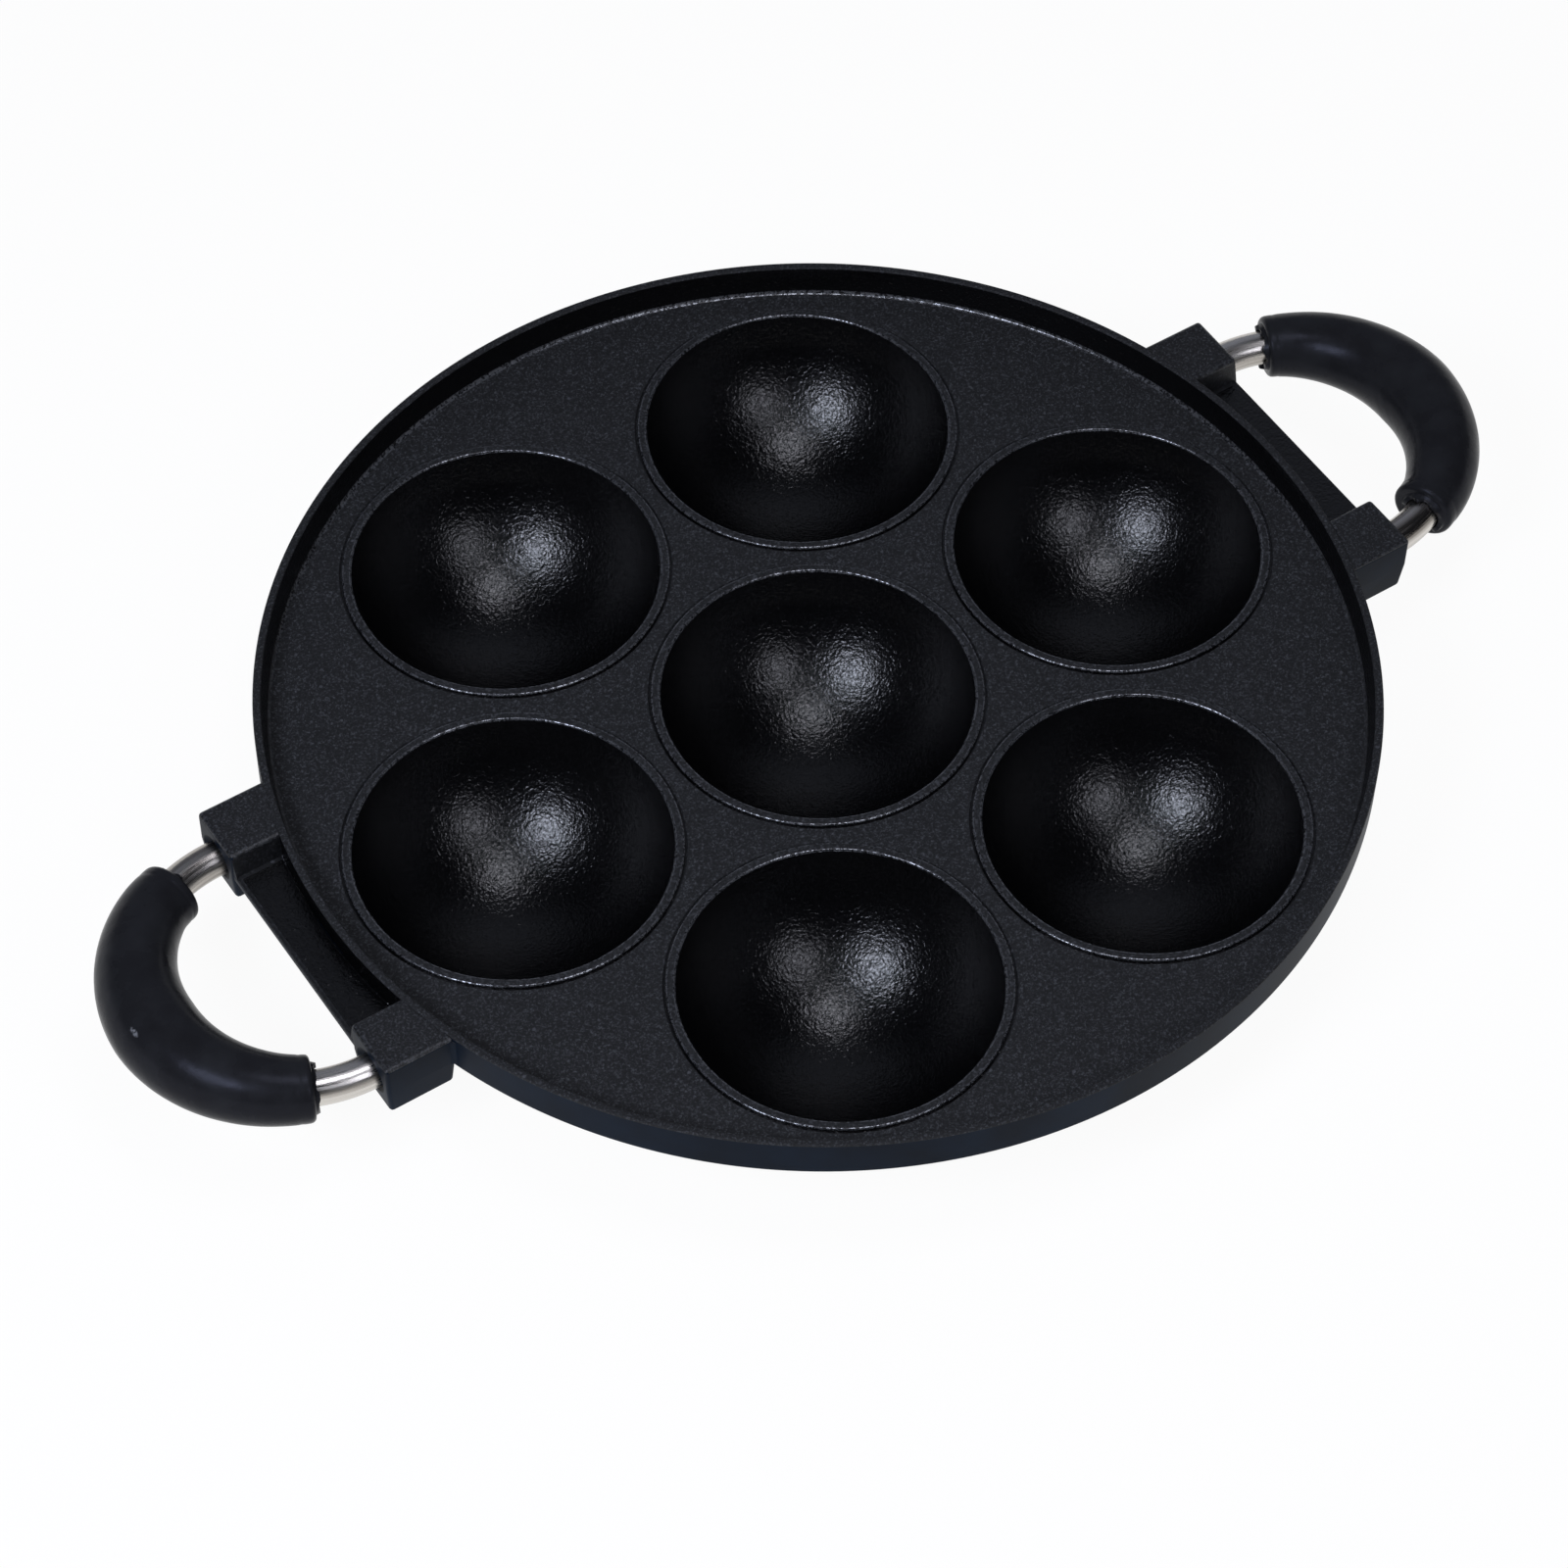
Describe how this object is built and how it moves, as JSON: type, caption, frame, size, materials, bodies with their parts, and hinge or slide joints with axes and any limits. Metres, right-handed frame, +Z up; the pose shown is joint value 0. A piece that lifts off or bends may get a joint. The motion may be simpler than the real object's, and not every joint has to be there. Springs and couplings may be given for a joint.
{
  "type": "takoyaki pan",
  "caption": "Round cast pan with ball-shaped cups in a rimmed plate and a steel loop handle with a soft sleeve on each side.",
  "frame": {"origin": "on the ground under the middle of the pan, where the flat feet of the cups stand", "axes": "+Z up, out of the cups; +X through the middles of the two handles; +Y along the rim between the handles"},
  "size_m": [0.3412, 0.2408, 0.0398],
  "materials": {
    "coated_casting": "black non-stick coating, fine sandy texture",
    "steel_rod": "polished",
    "sleeve_rubber": "smooth matte"
  },
  "bodies": {
    "root": {"pan_body": "coated_casting", "handle_rod_left": "steel_rod", "handle_rod_right": "steel_rod", "grip_left": "sleeve_rubber", "grip_right": "sleeve_rubber"}
  },
  "joints": []
}
